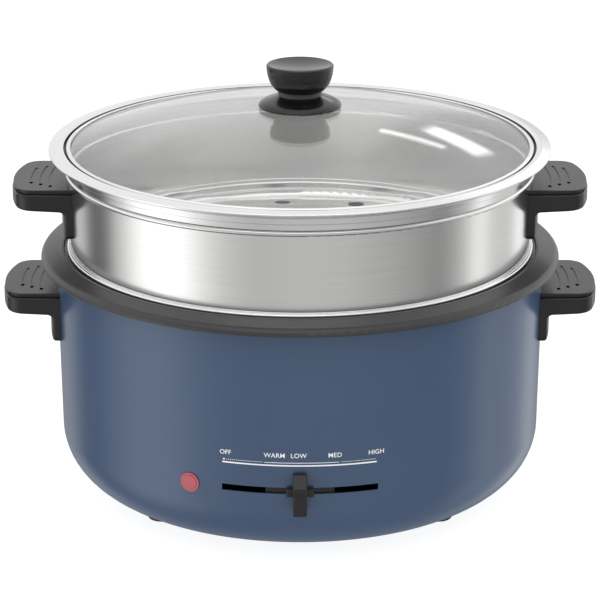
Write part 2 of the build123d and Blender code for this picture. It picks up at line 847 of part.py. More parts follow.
write(slider_knob.part, "slider_knob")

# ================================================================ base: indicator lamp
with BuildPart() as indicator_lens:
    with Locations(lamp_plane):
        Cylinder(
            lens_flange_radius, lens_flange_thickness, align=(Align.CENTER, Align.CENTER, Align.MIN)
        )
        Cylinder(
            lens_dome_radius,
            lens_flange_thickness + lens_dome_height,
            align=(Align.CENTER, Align.CENTER, Align.MIN),
        )
        Cylinder(lens_barrel_radius, lens_barrel_length, align=(Align.CENTER, Align.CENTER, Align.MAX))
        Cylinder(
            lens_barrel_radius - lens_barrel_wall,
            lens_barrel_length,
            align=(Align.CENTER, Align.CENTER, Align.MAX),
            mode=Mode.SUBTRACT,
        )
    lens_face = indicator_lens.faces().sort_by(Axis(lamp_plane.origin, lamp_plane.z_dir))[-1]
    fillet(lens_face.edges(), lens_edge_radius)
write(indicator_lens.part, "indicator_lens")

clip_wall_radius = housing_radius(lamp_height - clip_radius) - housing_wall
clip_front = sqrt(clip_wall_radius**2 - clip_radius**2) - touch_gap
with BuildPart() as indicator_clip:
    with BuildSketch(lamp_plane.offset(clip_front - clip_thickness - lamp_radius)):
        Circle(clip_radius)
        Circle(lens_barrel_radius + touch_gap, mode=Mode.SUBTRACT)
    extrude(amount=clip_thickness)
write(indicator_clip.part, "indicator_clip")

neon_radius = lens_barrel_radius - lens_barrel_wall - slip_gap
with BuildPart() as neon_lamp:
    with BuildSketch(lamp_plane.offset(-slip_gap)):
        Circle(neon_radius)
    extrude(amount=-neon_length)
    fillet(neon_lamp.edges(), 1.4)
    with Locations(lamp_plane.offset(-slip_gap - neon_length)):
        with Locations((-neon_lead_pitch / 2, 0), (neon_lead_pitch / 2, 0)):
            Cylinder(neon_lead_radius, neon_lead_length, align=(Align.CENTER, Align.CENTER, Align.MAX))
write(neon_lamp.part, "neon_lamp")

# ================================================================ base: power inlet and wiring
inlet_front = inlet_plane.offset(inlet_flange_proud)
inlet_depth = housing_radius(inlet_height) - inlet_inner_radius + inlet_flange_proud
inlet_pin_places = [
    (-inlet_pin_pitch / 2, -inlet_pin_height / 2),
    (inlet_pin_pitch / 2, -inlet_pin_height / 2),
    (0, inlet_pin_height / 2),
]

with BuildPart() as power_inlet:
    with BuildSketch(inlet_front):
        RectangleRounded(inlet_flange_width, inlet_flange_height, socket_corner)
    extrude(amount=-inlet_flange_proud - housing_corner_radius / 4)
    add(housing_envelope, mode=Mode.SUBTRACT)
    with BuildSketch(inlet_front):
        Rectangle(inlet_body_width, inlet_body_height)
    extrude(amount=-inlet_depth)
    with BuildSketch(inlet_front) as socket:
        Rectangle(socket_width, socket_height)
        chamfer(socket.vertices().group_by(Axis.Z)[-1], socket_corner)
    extrude(amount=-socket_depth, mode=Mode.SUBTRACT)
    with BuildSketch(inlet_front):
        with Locations(*inlet_pin_places):
            Rectangle(inlet_pin_width + 2 * touch_gap, inlet_pin_height + 2 * touch_gap)
        with Locations(*inlet_places):
            Circle(inlet_screw_radius + touch_gap)
    extrude(amount=-inlet_depth, mode=Mode.SUBTRACT)
write(power_inlet.part, "power_inlet")

with BuildPart() as inlet_pins:
    with BuildSketch(inlet_front.offset(-inlet_pin_set_back)):
        with Locations(*inlet_pin_places):
            Rectangle(inlet_pin_width, inlet_pin_height)
    extrude(amount=inlet_pin_set_back - inlet_depth - inlet_pin_tail)
write(inlet_pins.part, "inlet_pins")

with BuildPart() as inlet_screws:
    with Locations(Plane(origin=inlet_front.origin, x_dir=(1, 0, 0), z_dir=(0, -1, 0))):
        with Locations(*inlet_places):
            add(screw(inlet_screw_radius, inlet_screw_length, inlet_head_radius, inlet_head_height))
write(inlet_screws.part, "inlet_screws")

block_way_z = floor_z + block_height / 2
with BuildPart() as terminal_block:
    with BuildSketch(Plane.XY.offset(floor_z)):
        with Locations((0, block_distance)):
            RectangleRounded(block_length, block_width, 1.5)
            Circle(fixing_screw_radius + touch_gap, mode=Mode.SUBTRACT)
    extrude(amount=block_height)
    for x in (-block_pitch / 2, block_pitch / 2):
        with Locations((x, block_distance, block_way_z)):
            Cylinder(lead_radius + slip_gap, block_width, rotation=(90, 0, 0), mode=Mode.SUBTRACT)
write(terminal_block.part, "terminal_block")


def lead(points):
    """Insulated lead through the given points, with rounded turns."""
    with BuildPart(mode=Mode.PRIVATE) as wire:
        with BuildLine() as route:
            FilletPolyline(*points, radius=lead_bend)
        with BuildSketch(Plane(origin=route.line @ 0, z_dir=route.line % 0)):
            Circle(lead_radius)
        sweep()
    return wire.part


pin_tail_y = inlet_inner_radius - inlet_pin_tail
supply_z = floor_z + inlet_height - inlet_pin_height / 2
drop_y = pin_tail_y - 2 * lead_bend
block_back_y = block_distance + block_width / 2 - block_entry
block_front_y = block_distance - block_width / 2 + block_entry
terminal_z = heater_under_z - element_height / 2
terminal_x, terminal_y = polar(element_circle_radius, 90 - element_gap_angle / 2)
terminal_tip_x = terminal_x - (terminal_length - terminal_radius) * cos(radians(element_gap_angle / 2))
terminal_tip_y = terminal_y + (terminal_length - terminal_radius) * sin(radians(element_gap_angle / 2))

for side, name in ((-1, "supply_lead_left"), (1, "supply_lead_right")):
    supply_lead = lead(
        [
            (side * inlet_pin_pitch / 2, pin_tail_y - touch_gap, supply_z),
            (side * inlet_pin_pitch / 2, drop_y, supply_z),
            (side * inlet_pin_pitch / 2, drop_y, block_way_z),
            (side * block_pitch / 2, drop_y - supply_run, block_way_z),
            (side * block_pitch / 2, block_back_y, block_way_z),
        ]
    )
    write(supply_lead, name)

for side, name in ((-1, "heater_lead_left"), (1, "heater_lead_right")):
    heater_lead = lead(
        [
            (side * block_pitch / 2, block_front_y, block_way_z),
            (side * block_pitch / 2, block_front_y - heater_run, block_way_z),
            (side * lead_hole_x, block_front_y - heater_run, block_way_z),
            (side * lead_hole_x, lead_hole_y, block_way_z),
            (side * lead_hole_x, lead_hole_y, terminal_z),
            (side * terminal_tip_x, lead_hole_y, terminal_z),
            (side * terminal_tip_x, terminal_tip_y - terminal_radius - lead_radius, terminal_z),
        ]
    )
    write(heater_lead, name)

# ================================================================ side handles
def grip_outline(wall_radius, end_x, inset):
    """Plan of a side handle, drawn from inside the wall to its bowed outer end."""
    half = handle_half_width - inset
    end = end_x - inset
    side_x = end - handle_end_bow
    root_x = sqrt(wall_radius**2 - handle_half_width**2) - tab_thickness
    with BuildSketch(mode=Mode.PRIVATE) as outline:
        with BuildLine():
            Polyline((side_x, -half), (root_x, -half), (root_x, half), (side_x, half))
            ThreePointArc((side_x, half), (end, 0), (side_x, -half))
        make_face()
        fillet(outline.vertices().sort_by(Axis.X)[-2:], handle_corner_radius - inset)
    return outline.sketch


def side_handle(wall, wall_radius, reach, top_z):
    """Moulded handle on the +X side: a capped grip with a tab that lies down the wall."""
    under_z = top_z - handle_thickness
    cap_z = top_z - cap_thickness
    reveal_z = cap_z - reveal_height
    tab_z = under_z - tab_length
    end_x = wall_radius + reach
    tab_radius = wall_radius + tab_thickness
    root_x = sqrt(wall_radius**2 - handle_half_width**2) - tab_thickness
    underside = Plane(origin=(root_x, 0, under_z), z_dir=(-underside_slope, 0, 1))
    with BuildPart(mode=Mode.PRIVATE) as handle:
        with BuildSketch(Plane.XY.offset(under_z)):
            add(grip_outline(wall_radius, end_x, 0))
        extrude(amount=reveal_z - under_z)
        split(bisect_by=underside, keep=Keep.TOP)
        with BuildSketch(Plane.XY.offset(tab_z)):
            Circle(tab_radius)
            Rectangle(
                2 * tab_radius, 2 * handle_half_width, align=(Align.MIN, Align.CENTER), mode=Mode.INTERSECT
            )
            Circle(wall_radius - tab_thickness, mode=Mode.SUBTRACT)
        extrude(amount=tab_length + web_radius)
        fillet(handle.edges().filter_by(GeomType.ELLIPSE).sort_by(Axis.X)[1], web_radius)
        fillet(handle.edges().filter_by_position(Axis.Z, tab_z, tab_z).filter_by(Axis.X), tab_corner_radius)
        lower_edges = handle.edges().filter_by(
            lambda edge: edge.center().Z < under_z + web_radius
            and edge.center().X > root_x + 1.5 * tab_thickness
            and edge.bounding_box().size.Y < 1.9 * handle_half_width
        )
        tab_edges = lower_edges.filter_by(Axis.X).filter_by_position(Axis.Z, tab_z, under_z)
        fillet(lower_edges - tab_edges, underside_edge_radius)
        fillet(handle.edges().group_by(Axis.Z)[-1].sort_by(Axis.X)[1:], handle_edge_radius)
        with BuildSketch(Plane.XY.offset(reveal_z)):
            add(grip_outline(wall_radius, end_x, reveal_inset))
        extrude(amount=reveal_height)
        with BuildSketch(Plane.XY.offset(cap_z)):
            add(grip_outline(wall_radius, end_x, cap_inset))
        extrude(amount=cap_thickness)
        fillet(handle.edges().group_by(Axis.Z)[-1].sort_by(Axis.X)[1:], cap_edge_radius)
        add(wall, mode=Mode.SUBTRACT)
        for groove in range(3):
            middle_x = end_x - grip_groove_margin - groove * grip_groove_pitch
            half_length = grip_groove_half_length + groove * grip_groove_step
            bow = grip_groove_bow / handle_half_width**2
            front_y = pit_gap - half_length
            with BuildSketch(Plane.XY.offset(top_z)):
                with BuildLine(mode=Mode.PRIVATE) as groove_line:
                    ThreePointArc(
                        (middle_x - bow * front_y**2, front_y),
                        (middle_x, 0),
                        (middle_x - bow * half_length**2, half_length),
                    )
                SlotArc(groove_line.edges()[0], grip_groove_width)
            extrude(amount=-grip_groove_depth, mode=Mode.SUBTRACT)
            with BuildSketch(Plane.XY.offset(top_z)):
                with Locations((middle_x - bow * half_length**2, -half_length)):
                    Ellipse(pit_width / 2, pit_length / 2)
            extrude(amount=-pit_depth, mode=Mode.SUBTRACT)
        for y in (-handle_screw_pitch / 2, handle_screw_pitch / 2):
            with Locations((wall_radius, y, top_z - handle_thickness / 2)):
                Cylinder(
                    handle_screw_radius + touch_gap,
                    2 * handle_screw_length,
                    rotation=(0, 90, 0),
                    mode=Mode.SUBTRACT,
                )
    return handle.part


def handle_screws(inside_radius, height):
    """Two screws through a wall into the handle on the +X side."""
    seat_x = sqrt(inside_radius**2 - (handle_screw_pitch / 2 + handle_head_radius) ** 2) - touch_gap
    with BuildPart(mode=Mode.PRIVATE) as pair:
        with Locations(Plane(origin=(seat_x, 0, height), x_dir=(0, 1, 0), z_dir=(1, 0, 0))):
            with Locations((-handle_screw_pitch / 2, 0), (handle_screw_pitch / 2, 0)):
                add(screw(handle_screw_radius, handle_screw_length, handle_head_radius, handle_head_height))
    return pair.part


base_handle_top_z = floor_z + base_handle_top
base_wall_radius = housing_radius(base_handle_top)
base_handle = side_handle(housing_envelope, base_wall_radius, base_handle_reach, base_handle_top_z)
write(mirror(base_handle, about=Plane.YZ), "base_handle_left")
write(base_handle, "base_handle_right")

base_screw_seat = housing_radius(base_handle_top - handle_thickness) - housing_wall
base_screw_pair = handle_screws(base_screw_seat, handle_screw_z)
with BuildPart() as base_handle_screws:
    add(base_screw_pair)
    add(mirror(base_screw_pair, about=Plane.YZ))
write(base_handle_screws.part, "base_handle_screws")

# ================================================================ steamer tier
steamer_inside = steamer_radius - steamer_wall
step_inside = steamer_step_radius - steamer_wall
step_low_radius = steamer_step_radius - steamer_ridge_width
ridge_z = shoulder_z - steamer_ridge_drop
rib_radius = step_low_radius - steamer_rib_inset
steamer_handle_top_z = shoulder_z + steamer_handle_top
steamer_screw_z = steamer_handle_top_z - handle_thickness / 2

with BuildPart() as steamer_body:
    with BuildSketch(Plane.XZ):
        with BuildLine():
            FilletPolyline(
                (steamer_radius, bead_z),
                (steamer_radius, shoulder_z),
                (steamer_step_radius, shoulder_z),
                (steamer_step_radius, ridge_z),
                (step_low_radius, ridge_z),
                (step_low_radius, steamer_floor_z),
                (rib_radius, steamer_floor_z),
                (rib_radius - steamer_rib_run, steamer_floor_z + steamer_rib_rise),
                (0, steamer_floor_z + steamer_rib_rise),
                (0, steamer_floor_z + steamer_rib_rise + steamer_wall),
                (rib_radius - steamer_rib_run, steamer_floor_z + steamer_rib_rise + steamer_wall),
                (rib_radius, steamer_floor_z + steamer_wall),
                (step_low_radius - steamer_wall, steamer_floor_z + steamer_wall),
                (step_low_radius - steamer_wall, ridge_z + steamer_wall),
                (step_inside, ridge_z + steamer_wall),
                (step_inside, shoulder_z + steamer_wall),
                (steamer_inside, shoulder_z + steamer_wall),
                (steamer_inside, bead_z),
                radius=[
                    0,
                    steamer_shoulder_radius,
                    steamer_step_edge,
                    steamer_ridge_edge,
                    steamer_ridge_edge,
                    steamer_floor_corner,
                    steamer_ridge_edge,
                    steamer_ridge_edge,
                    0,
                    0,
                    steamer_ridge_edge,
                    steamer_ridge_edge,
                    steamer_floor_corner - steamer_wall,
                    steamer_ridge_edge,
                    steamer_ridge_edge,
                    steamer_step_edge + steamer_wall,
                    steamer_shoulder_radius - steamer_wall,
                    0,
                ],
                close=True,
            )
        make_face()
        with Locations((steamer_radius - 2 * steamer_wall + steamer_bead_radius, bead_z)):
            Circle(steamer_bead_radius)
        foot_bead_x = steamer_radius - steamer_wall / 3 + steamer_foot_radius
        with Locations((foot_bead_x, shoulder_z + steamer_foot_radius)):
            Circle(steamer_foot_radius)
    revolve(axis=Axis.Z)
    for ring_radius, ring_count in zip(steam_ring_radii, steam_ring_counts):
        with Locations(Plane.XY.offset(steamer_floor_z)):
            with PolarLocations(ring_radius, ring_count, start_angle=96):
                Cylinder(steam_hole_radius, 4 * steamer_wall, mode=Mode.SUBTRACT)
    for y in (-handle_screw_pitch / 2, handle_screw_pitch / 2):
        with Locations((0, y, steamer_screw_z)):
            Cylinder(
                handle_screw_radius + touch_gap, 2 * rim_radius, rotation=(0, 90, 0), mode=Mode.SUBTRACT
            )
write(steamer_body.part, "steamer_body")

with BuildPart(mode=Mode.PRIVATE) as steamer_envelope:
    with Locations((0, 0, shoulder_z)):
        Cylinder(
            steamer_radius + touch_gap, steamer_wall_height, align=(Align.CENTER, Align.CENTER, Align.MIN)
        )
steamer_handle = side_handle(
    steamer_envelope.part, steamer_radius, steamer_handle_reach, steamer_handle_top_z
)
write(mirror(steamer_handle, about=Plane.YZ), "steamer_handle_left")
write(steamer_handle, "steamer_handle_right")

steamer_screw_pair = handle_screws(steamer_inside, steamer_screw_z)
with BuildPart() as steamer_handle_screws:
    add(steamer_screw_pair)
    add(mirror(steamer_screw_pair, about=Plane.YZ))
write(steamer_handle_screws.part, "steamer_handle_screws")

# ================================================================ lid
glass_edge_z = brim_top_z - 0.9
glass_curve = (glass_radius**2 + glass_rise**2) / (2 * glass_rise)
glass_centre_z = glass_edge_z + glass_rise - glass_curve


def glass_top(radius):
    """Height of the glass's upper face at a radius."""
    return glass_centre_z + sqrt(glass_curve**2 - radius**2)


def glass_under(radius):
    """Height of the glass's lower face at a radius."""
    return glass_centre_z + sqrt((glass_curve - glass_thickness) ** 2 - radius**2)


with BuildPart() as lid_glass:
    with BuildSketch(Plane.XZ):
        with BuildLine():
            half = glass_radius / 2
            ThreePointArc(
                (glass_hole_radius, glass_top(glass_hole_radius)),
                (half, glass_top(half)),
                (glass_radius, glass_edge_z),
            )
            Line((glass_radius, glass_edge_z), (glass_radius, glass_under(glass_radius)))
            ThreePointArc(
                (glass_radius, glass_under(glass_radius)),
                (half, glass_under(half)),
                (glass_hole_radius, glass_under(glass_hole_radius)),
            )
            Line(
                (glass_hole_radius, glass_under(glass_hole_radius)),
                (glass_hole_radius, glass_top(glass_hole_radius)),
            )
        make_face()
    revolve(axis=Axis.Z)
write(lid_glass.part, "lid_glass")

lid_seat_z = bead_top_z + slip_gap
brim_under_z = brim_top_z - lid_brim_thickness
lip_inner = glass_radius - lid_bead_width / 2
shelf_inner = glass_radius - 2.8
shelf_z = glass_under(glass_radius) - touch_gap
plug_outer = steamer_inside - lid_plug_clearance
plug_inner = plug_outer - lid_ring_wall
ridge_low_z = lid_seat_z + 3.4
ridge_high_z = ridge_low_z + 3.8
groove_inner = lip_inner + lid_bead_width
groove_outer = groove_inner + lid_groove_width
groove_middle = (groove_inner + groove_outer) / 2
with BuildPart() as lid_ring:
    add(
        turned(
            [
                (lid_radius, brim_under_z),
                (lid_radius, brim_top_z),
                (lid_radius - brim_crest_inset, brim_top_z + brim_crest_rise),
                (groove_outer, brim_top_z + brim_crest_rise - brim_crest_fall),
                (groove_middle, brim_top_z - lid_groove_depth),
                (groove_inner, brim_top_z),
                (lip_inner + lid_bead_width / 2, brim_top_z + lid_bead_rise),
                (lip_inner, brim_top_z + 0.1),
                (lip_inner, glass_top(lip_inner) + touch_gap),
                (glass_radius + touch_gap, glass_edge_z + touch_gap),
                (glass_radius + touch_gap, shelf_z),
                (shelf_inner, shelf_z),
                (shelf_inner, shelf_z - lid_ring_wall),
                (plug_inner, shelf_z - lid_ring_wall),
                (plug_inner, lid_seat_z - lid_plug_depth),
                (plug_outer, lid_seat_z - lid_plug_depth),
                (plug_outer, lid_seat_z),
                (lid_neck_radius, lid_seat_z),
                (lid_neck_radius, ridge_low_z),
                (lid_neck_radius + lid_neck_ridge, ridge_low_z + 0.5),
                (lid_neck_radius + lid_neck_ridge, ridge_high_z),
                (lid_neck_radius, ridge_high_z + 0.5),
                (lid_neck_radius, brim_under_z),
            ],
            [
                0.5,
                0.7,
                3.0,
                0.3,
                0.35,
                0.4,
                1.0,
                0.25,
                0,
                0,
                0,
                0,
                0,
                0,
                0.2,
                0.2,
                0,
                0.4,
                0,
                0.3,
                0.3,
                0,
                lid_neck_fillet,
            ],
        )
    )
write(lid_ring.part, "lid_ring")

crown_z = glass_top(0)
skirt_under_z = crown_z + knob_seal_thickness
skirt_edge_z = glass_top(skirt_radius) + skirt_gap
skirt_top_z = skirt_under_z + skirt_rise - knob_seal_thickness
collar_top_z = skirt_top_z + collar_height
screw_hole_radius = knob_screw_radius + hole_gap

with BuildPart() as knob_seal:
    with BuildSketch(Plane.XY.offset(crown_z)):
        Circle(knob_seal_radius)
        Circle(screw_hole_radius, mode=Mode.SUBTRACT)
    extrude(amount=knob_seal_thickness)
write(knob_seal.part, "knob_seal")

skirt_height = skirt_top_z - skirt_edge_z
with BuildPart() as knob_skirt:
    with BuildSketch(Plane.XZ):
        with BuildLine():
            Polyline(
                (collar_radius, skirt_top_z),
                (screw_hole_radius, skirt_top_z),
                (screw_hole_radius, skirt_under_z),
                (knob_seal_radius + 1, skirt_under_z),
                (skirt_radius - skirt_edge, skirt_edge_z),
                (skirt_radius - 0.3 * skirt_edge, skirt_edge_z),
            )
            Spline(
                (skirt_radius - 0.3 * skirt_edge, skirt_edge_z),
                (skirt_radius, skirt_edge_z + 0.45 * skirt_edge),
                (skirt_radius - 0.3 * skirt_edge, skirt_edge_z + 1.1 * skirt_edge),
                (0.81 * skirt_radius, skirt_edge_z + 0.62 * skirt_height),
                (0.62 * skirt_radius, skirt_edge_z + 0.87 * skirt_height),
                (collar_radius, skirt_top_z),
            )
        make_face()
    revolve(axis=Axis.Z)
write(knob_skirt.part, "knob_skirt")

with BuildPart() as knob_collar:
    with BuildSketch(Plane.XY.offset(skirt_top_z)):
        Circle(collar_radius)
        Circle(screw_hole_radius, mode=Mode.SUBTRACT)
    extrude(amount=collar_height)
    fillet(knob_collar.edges().group_by(Axis.Z)[-1].sort_by(SortBy.RADIUS)[-1], 0.3)
write(knob_collar.part, "knob_collar")

grip_top_z = collar_top_z + grip_height
bowl = grip_radius - grip_base_radius
dish_radius = grip_radius - grip_rim_radius
dish_curve = (dish_radius**2 + grip_dish**2) / (2 * grip_dish)
dish_middle_z = grip_top_z - grip_dish + dish_curve - sqrt(dish_curve**2 - dish_radius**2 / 4)
with BuildPart() as knob_grip:
    with BuildSketch(Plane.XZ):
        with BuildLine():
            Line((0, collar_top_z), (grip_base_radius, collar_top_z))
            Spline(
                (grip_base_radius, collar_top_z),
                (grip_base_radius + 0.62 * bowl, collar_top_z + 0.27 * grip_height),
                (grip_base_radius + 0.93 * bowl, collar_top_z + 0.66 * grip_height),
                (grip_radius, grip_top_z - grip_rim_radius),
            )
            ThreePointArc(
                (grip_radius, grip_top_z - grip_rim_radius),
                (grip_radius - 0.3 * grip_rim_radius, grip_top_z - 0.3 * grip_rim_radius),
                (dish_radius, grip_top_z),
            )
            ThreePointArc(
                (dish_radius, grip_top_z),
                (dish_radius / 2, dish_middle_z),
                (0, grip_top_z - grip_dish),
            )
            Line((0, grip_top_z - grip_dish), (0, collar_top_z))
        make_face()
    revolve(axis=Axis.Z)
    with Locations((0, 0, collar_top_z)):
        Cylinder(
            knob_screw_radius + touch_gap,
            knob_screw_thread,
            align=(Align.CENTER, Align.CENTER, Align.MIN),
            mode=Mode.SUBTRACT,
        )
write(knob_grip.part, "knob_grip")

washer_top_z = glass_under(knob_washer_radius)
head_z = washer_top_z - knob_washer_thickness
with BuildPart() as knob_washer:
    with BuildSketch(Plane.XY.offset(head_z)):
        Circle(knob_washer_radius)
        Circle(screw_hole_radius, mode=Mode.SUBTRACT)
    extrude(amount=knob_washer_thickness)
write(knob_washer.part, "knob_washer")

with BuildPart() as knob_screw:
    with Locations((0, 0, head_z)):
        add(
            screw(
                knob_screw_radius,
                collar_top_z + knob_screw_thread - hole_gap - head_z,
                knob_head_radius,
                knob_head_height,
            )
        )
write(knob_screw.part, "knob_screw")
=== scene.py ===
"""Studio scene of an electric hot pot: materials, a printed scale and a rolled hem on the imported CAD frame.

Metres, in the CAD's frame: Z is the pot's axis, the table is z = 0 and the control panel faces -Y.
"""

import json
import math

import bmesh
import bpy
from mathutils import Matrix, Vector

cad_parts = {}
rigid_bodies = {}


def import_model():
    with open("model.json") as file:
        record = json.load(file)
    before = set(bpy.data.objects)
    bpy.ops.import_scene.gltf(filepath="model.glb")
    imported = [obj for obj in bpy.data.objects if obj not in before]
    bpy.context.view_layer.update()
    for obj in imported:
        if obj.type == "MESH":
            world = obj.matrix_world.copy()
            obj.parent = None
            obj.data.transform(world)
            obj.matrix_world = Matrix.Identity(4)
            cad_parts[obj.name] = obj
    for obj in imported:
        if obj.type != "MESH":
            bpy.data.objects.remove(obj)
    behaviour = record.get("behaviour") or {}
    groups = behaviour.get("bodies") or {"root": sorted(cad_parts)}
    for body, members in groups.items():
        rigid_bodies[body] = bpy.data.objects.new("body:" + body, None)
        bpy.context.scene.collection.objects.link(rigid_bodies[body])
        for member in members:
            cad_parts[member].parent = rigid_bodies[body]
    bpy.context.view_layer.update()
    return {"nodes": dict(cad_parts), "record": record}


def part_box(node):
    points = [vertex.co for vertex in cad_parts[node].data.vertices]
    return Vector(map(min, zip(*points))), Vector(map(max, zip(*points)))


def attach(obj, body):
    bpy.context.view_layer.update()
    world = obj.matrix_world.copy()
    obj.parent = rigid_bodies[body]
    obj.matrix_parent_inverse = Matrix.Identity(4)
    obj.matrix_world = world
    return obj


for thing in list(bpy.data.objects):
    bpy.data.objects.remove(thing)

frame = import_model()
MM = 0.001

# ---------------------------------------------------------------- camera, at the photograph's place
CAMERA_DISTANCE = 1.48097
CAMERA_PITCH = math.radians(19.076)
CAMERA_LENS = 141.0  # mm
CAMERA_SENSOR = 36.0  # mm
CAMERA_CLIP = (0.05, 50.0)
TARGET = Vector((0.0, 0.0, 0.11618))

camera_data = bpy.data.cameras.new("camera")
camera_data.sensor_width = CAMERA_SENSOR
camera_data.lens = CAMERA_LENS
camera_data.clip_start, camera_data.clip_end = CAMERA_CLIP
camera = bpy.data.objects.new("camera", camera_data)
back = Vector((0.0, -math.cos(CAMERA_PITCH), math.sin(CAMERA_PITCH)))
camera.location = TARGET + back * CAMERA_DISTANCE
camera.rotation_mode = "QUATERNION"
camera.rotation_quaternion = (-back).to_track_quat("-Z", "Y")
bpy.context.scene.collection.objects.link(camera)
bpy.context.scene.camera = camera
bpy.context.scene.view_settings.view_transform = "Standard"
bpy.context.scene.view_settings.look = "None"

# ---------------------------------------------------------------- housing's outside in mm
housing_low, housing_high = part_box("outer_housing")
FOOT_HEIGHT = housing_low[2] / MM
HOUSING_HEIGHT = (housing_high[2] - housing_low[2]) / MM
HOUSING_TOP_RADIUS = housing_high[0] / MM
HOUSING_TAPER = 0.0097  # growth of the radius for each mm of height, as in the CAD
HOUSING_FLOOR_RADIUS = HOUSING_TOP_RADIUS - HOUSING_TAPER * HOUSING_HEIGHT


def housing_radius(height):
    """Housing's outside radius in mm at a height above its bottom."""
    return HOUSING_FLOOR_RADIUS + HOUSING_TAPER * height


def on_housing(angle, height, proud=0.0):
    """Point on the housing's outside, by degrees to the right of the front and mm above its bottom."""
    radius = (housing_radius(height) + proud) * MM
    turn = math.radians(angle)
    return Vector((radius * math.sin(turn), -radius * math.cos(turn), (height + FOOT_HEIGHT) * MM))


# ---------------------------------------------------------------- painted shade in the lid's groove
GLASS_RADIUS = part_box("lid_glass")[1][0]
LID_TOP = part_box("lid_ring")[1][2]
# zone of the groove painted with shade: inner and outer radius, lower and upper edge
LID_GROOVE = (GLASS_RADIUS + 1.5 * MM, GLASS_RADIUS + 3.2 * MM, LID_TOP - 3.0 * MM, LID_TOP - 0.5 * MM)
GROOVE_SHADE_FADE = 0.3 * MM  # height over which the painted shade ends at its upper edge
# colour of the painted shade in the lid's groove
GROOVE_SHADE_COLOR = (0.012, 0.012, 0.012)

# ---------------------------------------------------------------- material helpers
MATERIALS = {}  # every material by its name


class Graph:
    """Node tree whose sockets are fed either a plain value or the output of another node."""

    def __init__(self, tree):
        self.tree = tree

    def feed(self, socket, value):
        """Sets a socket to a plain value, or joins another node's output to it."""
        if isinstance(value, bpy.types.NodeSocket):
            self.tree.links.new(value, socket)
        else:
            socket.default_value = value

    def node(self, kind, **inputs):
        """Adds a node; an input's name is given with _ for each space."""
        made = self.tree.nodes.new(kind)
        for key, value in inputs.items():
            self.feed(made.inputs[key.replace("_", " ")], value)
        return made

    def math(self, operation, *values):
        made = self.node("ShaderNodeMath")
        made.operation = operation
        for socket, value in zip(made.inputs, values):
            self.feed(socket, value)
        return made.outputs[0]

    def mix(self, kind, factor, first, second):
        """Blend of two values of a kind, FLOAT or RGBA."""
        made = self.node("ShaderNodeMix")
        made.data_type = kind
        for key, value in (("Factor", factor), ("A", first), ("B", second)):
            self.feed(made.inputs[key], value)
        return made.outputs["Result"]

    def remap(self, source, low, high, from_low=0.0, from_high=1.0, interpolation="LINEAR"):
        """Value between low and high as the source goes from from_low to from_high."""
        made = self.node("ShaderNodeMapRange", Value=source, From_Min=from_low, From_Max=from_high)
        made.interpolation_type = interpolation
        self.feed(made.inputs["To Min"], low)
        self.feed(made.inputs["To Max"], high)
        return made.outputs["Result"]

    def ramp(self, source, stops, interpolation="LINEAR"):
        """Colour by the source's value, from stops of (position, colour)."""
        made = self.node("ShaderNodeValToRGB", Fac=source)
        made.color_ramp.interpolation = interpolation
        elements = made.color_ramp.elements
        while len(elements) < len(stops):
            elements.new(0.5)
        for element, (position, color) in zip(elements, stops):
            element.position = position
            element.color = (*color, 1.0)
        return made.outputs["Color"]

    def split(self, vector):
        return self.node("ShaderNodeSeparateXYZ", Vector=vector).outputs


class Shader(Graph):
    """Material with a Principled shader, dressed in object-space coordinates."""

    def __init__(self, name, color, roughness, **sockets):
        self.material = bpy.data.materials.new(name)
        self.material.use_nodes = True
        super().__init__(self.material.node_tree)
        self.bsdf = self.tree.nodes["Principled BSDF"]
        self.set(Base_Color=(*color, 1.0), Roughness=roughness, **sockets)
        self.place = self.node("ShaderNodeTexCoord").outputs["Object"]
        MATERIALS[name] = self.material

    def set(self, **sockets):
        for key, value in sockets.items():
            self.feed(self.bsdf.inputs[key.replace("_", " ")], value)

    def noise(self, scale, detail=2.0, roughness=0.5, vector=None):
        """Noise over the piece, or over a vector of its own."""
        vector = self.place if vector is None else vector
        made = self.node("ShaderNodeTexNoise", Vector=vector, Scale=scale, Detail=detail, Roughness=roughness)
        return made.outputs["Fac"]

    def bump(self, height, distance, strength=0.5):
        made = self.node("ShaderNodeBump", Strength=strength, Distance=distance, Height=height)
        self.set(Normal=made.outputs["Normal"])

    def around_axis(self):
        """(radius in metres, angle in radians, height in metres) about the pot's axis."""
        x, y, z = self.split(self.place)
        squares = self.math("ADD", self.math("MULTIPLY", x, x), self.math("MULTIPLY", y, y))
        return self.math("SQRT", squares), self.math("ARCTAN2", y, x), z


def scaled(color, share):
    """Colour made darker or lighter by a share, at most 1 in each channel."""
    return tuple(min(1.0, share * channel) for channel in color)


FLAKE_SHARE = 0.7  # share of fine flakes in the enamel's speckle, the rest is a soft cloud
GRAIN_TURN = 1.2  # how fast the steel's grain changes along its lines
SMUDGE = 0.05  # roughness that the steel's soft smudges add at most


def enamel(name, dark, light):
    """Satin metallic enamel with fine flakes and a faint orange peel."""
    shader = Shader(name, light, 0.36, Coat_Weight=0.45, Coat_Roughness=0.2, Specular_IOR_Level=0.5)
    flakes = shader.noise(2600.0, detail=1.0)
    cloud = shader.noise(14.0, detail=3.0)
    fine = shader.math("MULTIPLY", flakes, FLAKE_SHARE)
    soft = shader.math("MULTIPLY", cloud, 1.0 - FLAKE_SHARE)
    shader.set(
        Base_Color=shader.ramp(shader.math("ADD", fine, soft), [(0.3, dark), (0.7, light)]),
        Roughness=shader.remap(cloud, 0.33, 0.4),
    )
    shader.bump(shader.noise(420.0), 0.00004, 0.35)


